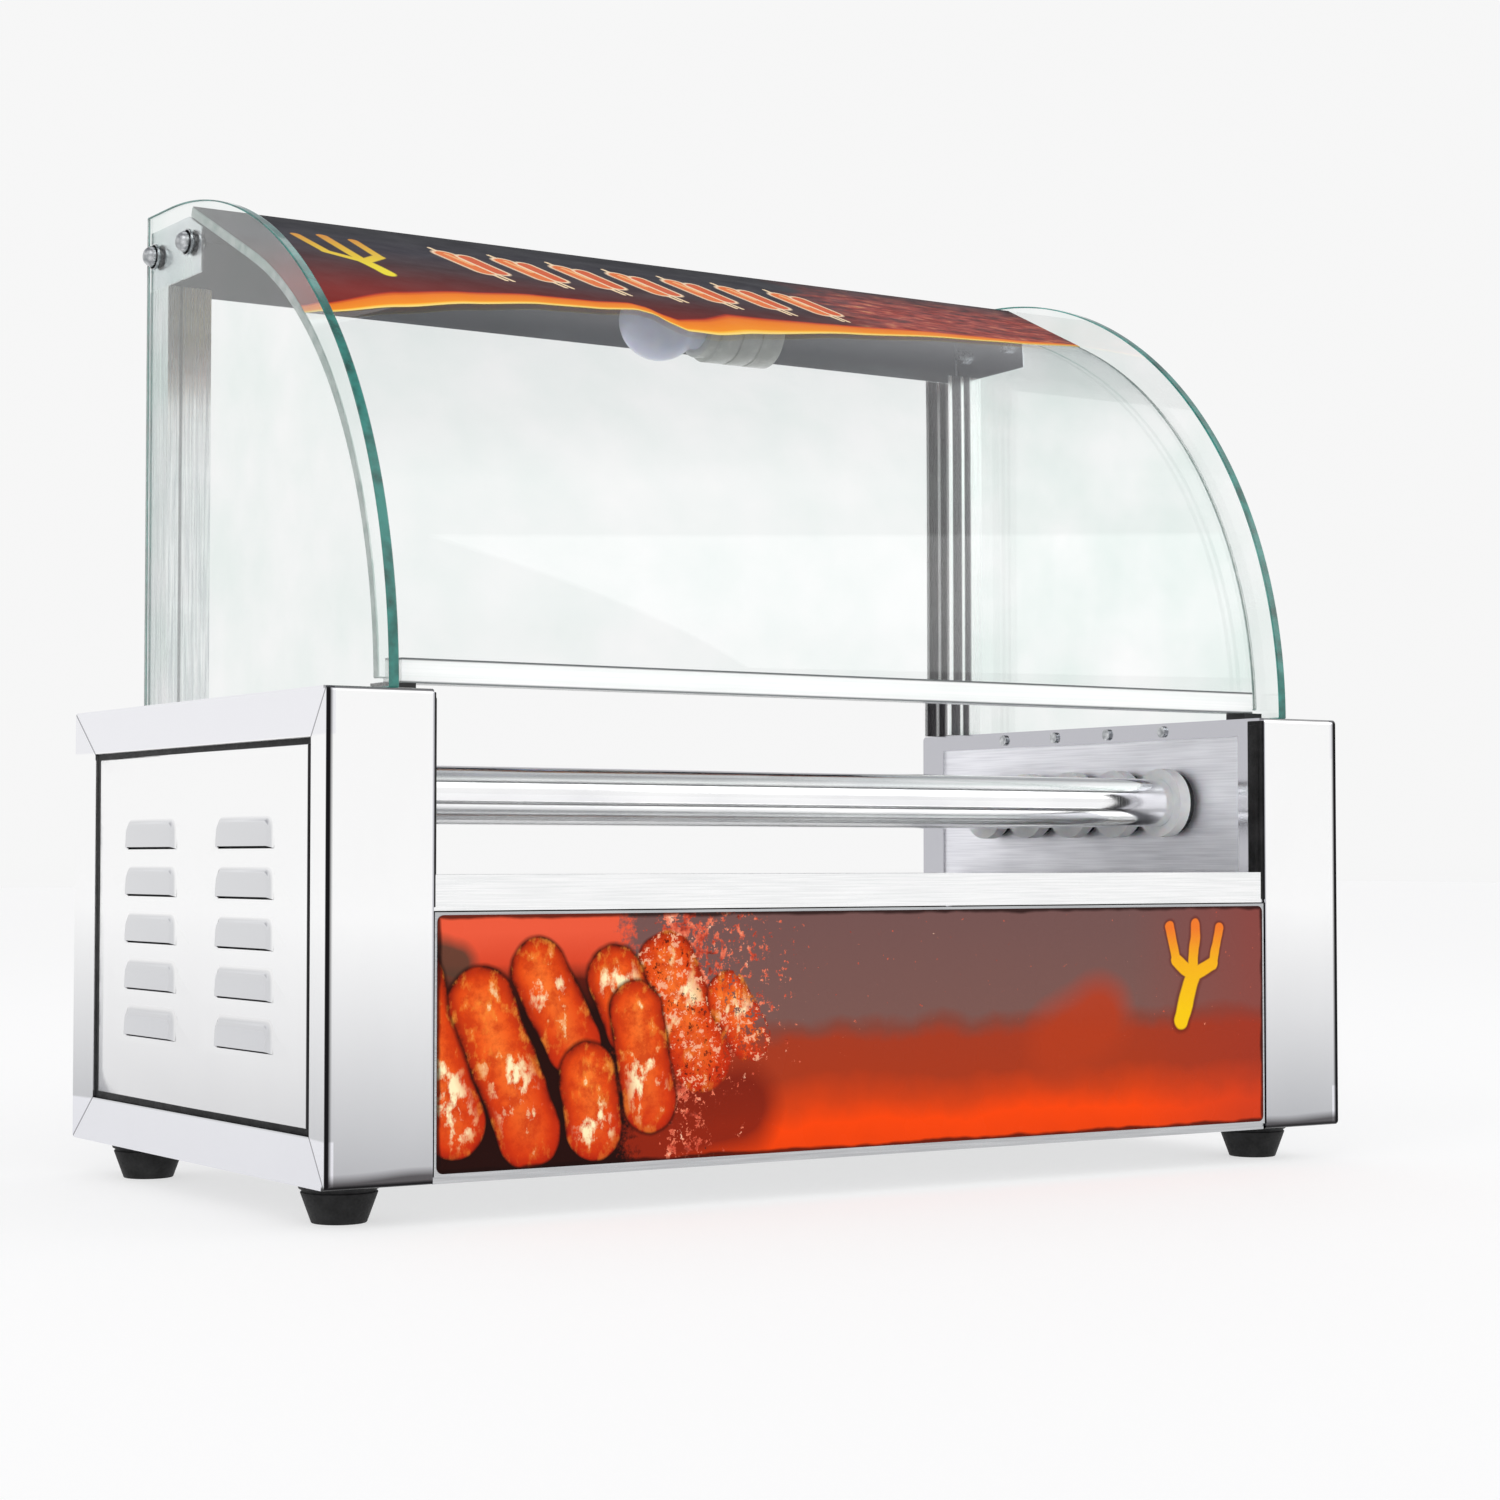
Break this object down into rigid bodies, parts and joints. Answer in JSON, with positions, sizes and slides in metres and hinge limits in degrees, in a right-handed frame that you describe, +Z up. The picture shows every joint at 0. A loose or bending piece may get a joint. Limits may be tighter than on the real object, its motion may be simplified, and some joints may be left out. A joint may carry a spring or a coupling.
{
  "type": "hot dog roller grill",
  "caption": "Countertop sausage roller grill: chain-driven heated tubes over a drip tray in a folded steel casing, under a curved glass hood with a printed canopy and a lamp.",
  "frame": {"origin": "middle of the footprint, at the underside of the feet", "axes": "+X along the rollers towards the right end as the customer sees it, +Y from the customer's side to the operator's side, +Z up"},
  "size_m": [0.58, 0.296, 0.483],
  "materials": {
    "mirror_steel": "mirror-polished stainless steel",
    "satin_steel": "satin stainless steel",
    "post_steel": "brushed",
    "printed_film": "glossy printed film",
    "roller_chrome": "polished tube",
    "sprocket_steel": "oiled steel",
    "bush_ptfe": "white PTFE",
    "seal_rubber": "dark seal",
    "heater_steel": "heat-tinted steel",
    "zinc_steel": "zinc plated",
    "gearbox_alloy": "die cast",
    "motor_paint": "black enamel",
    "foot_rubber": "moulded rubber",
    "side_glass": "clear, polished green edge",
    "front_glass": "clear, bent",
    "clip_plastic": "black moulded plastic",
    "rocker_plastic": "red rocker",
    "indicator_lens": "amber lens",
    "bulb_glass": "frosted glass envelope",
    "socket_ceramic": "white glazed ceramic"
  },
  "bodies": {
    "root": {"left_end_casing": "mirror_steel", "right_end_casing": "mirror_steel", "left_side_cover": "mirror_steel", "right_side_cover": "mirror_steel", "left_roller_plate": "satin_steel", "right_roller_plate": "satin_steel", "front_panel": "satin_steel", "rear_panel": "satin_steel", "base_pan": "satin_steel", "tray_runners": "satin_steel", "light_housing": "satin_steel", "left_rear_post": "post_steel", "right_rear_post": "post_steel", "glass_rail": "post_steel", "front_graphic": "printed_film", "canopy_film": "printed_film", "drive_chain": "sprocket_steel", "roller_bushes": "bush_ptfe", "bush_rings": "seal_rubber", "heater_rods": "heater_steel", "heater_brackets": "heater_steel", "motor_bracket": "zinc_steel", "lamp_bracket": "zinc_steel", "edge_screws": "zinc_steel", "foot_screws": "zinc_steel", "hood_bolts": "zinc_steel", "gearbox": "gearbox_alloy", "gear_motor": "motor_paint", "foot_front_left": "foot_rubber", "foot_front_right": "foot_rubber", "foot_rear_left": "foot_rubber", "foot_rear_right": "foot_rubber", "left_side_glass": "side_glass", "right_side_glass": "side_glass", "front_glass": "front_glass", "rail_clips": "clip_plastic", "thermostats": "clip_plastic", "switch_housings": "clip_plastic", "power_inlet": "clip_plastic", "terminal_block": "clip_plastic", "indicator_lamps": "indicator_lens", "lamp_bulb": "bulb_glass", "lamp_socket": "socket_ceramic"},
    "roller_1": {"roller_1": "roller_chrome", "sprocket_1": "sprocket_steel"},
    "roller_2": {"roller_2": "roller_chrome", "sprocket_2": "sprocket_steel"},
    "roller_3": {"roller_3": "roller_chrome", "sprocket_3": "sprocket_steel"},
    "roller_4": {"roller_4": "roller_chrome", "sprocket_4": "sprocket_steel"},
    "roller_5": {"roller_5": "roller_chrome", "sprocket_5": "sprocket_steel"},
    "motor_output": {"motor_shaft": "sprocket_steel", "motor_sprocket": "sprocket_steel"},
    "drip_tray": {"drip_tray": "satin_steel"},
    "left_knob": {"left_thermostat_knob": "clip_plastic"},
    "right_knob": {"right_thermostat_knob": "clip_plastic"},
    "motor_rocker": {"motor_rocker": "rocker_plastic"},
    "lamp_rocker": {"lamp_rocker": "rocker_plastic"}
  },
  "joints": [
    {"name": "roller_1_spin", "type": "hinge", "parent": "root", "child": "roller_1", "pos_m": [0, -0.0762, 0.187], "axis": [1, 0, 0], "continuous": true},
    {"name": "roller_2_spin", "type": "hinge", "parent": "root", "child": "roller_2", "pos_m": [0, -0.0381, 0.187], "axis": [1, 0, 0], "continuous": true},
    {"name": "roller_3_spin", "type": "hinge", "parent": "root", "child": "roller_3", "pos_m": [0, 0, 0.187], "axis": [1, 0, 0], "continuous": true},
    {"name": "roller_4_spin", "type": "hinge", "parent": "root", "child": "roller_4", "pos_m": [0, 0.0381, 0.187], "axis": [1, 0, 0], "continuous": true},
    {"name": "roller_5_spin", "type": "hinge", "parent": "root", "child": "roller_5", "pos_m": [0, 0.0762, 0.187], "axis": [1, 0, 0], "continuous": true},
    {"name": "motor_spin", "type": "hinge", "parent": "root", "child": "motor_output", "pos_m": [0, 0, 0.082], "axis": [1, 0, 0], "continuous": true},
    {"name": "drip_tray_slide", "type": "slide", "parent": "root", "child": "drip_tray", "axis": [0, -1, 0], "range_m": [0, 0.22]},
    {"name": "left_knob_turn", "type": "hinge", "parent": "root", "child": "left_knob", "pos_m": [-0.055, 0.126, 0.07], "axis": [0, -1, 0], "range_deg": [0, 270]},
    {"name": "right_knob_turn", "type": "hinge", "parent": "root", "child": "right_knob", "pos_m": [0.055, 0.126, 0.07], "axis": [0, -1, 0], "range_deg": [0, 270]},
    {"name": "motor_rocker_tilt", "type": "hinge", "parent": "root", "child": "motor_rocker", "pos_m": [0.15, 0.12535, 0.07], "axis": [1, 0, 0], "range_deg": [0, 16]},
    {"name": "lamp_rocker_tilt", "type": "hinge", "parent": "root", "child": "lamp_rocker", "pos_m": [0.18, 0.12535, 0.07], "axis": [1, 0, 0], "range_deg": [0, 16]}
  ],
  "couplings": [
    {"joint": "roller_2_spin", "follows": "roller_1_spin", "ratio": 1},
    {"joint": "roller_3_spin", "follows": "roller_1_spin", "ratio": 1},
    {"joint": "roller_4_spin", "follows": "roller_1_spin", "ratio": 1},
    {"joint": "roller_5_spin", "follows": "roller_1_spin", "ratio": 1},
    {"joint": "motor_spin", "follows": "roller_1_spin", "ratio": 1.4167}
  ]
}
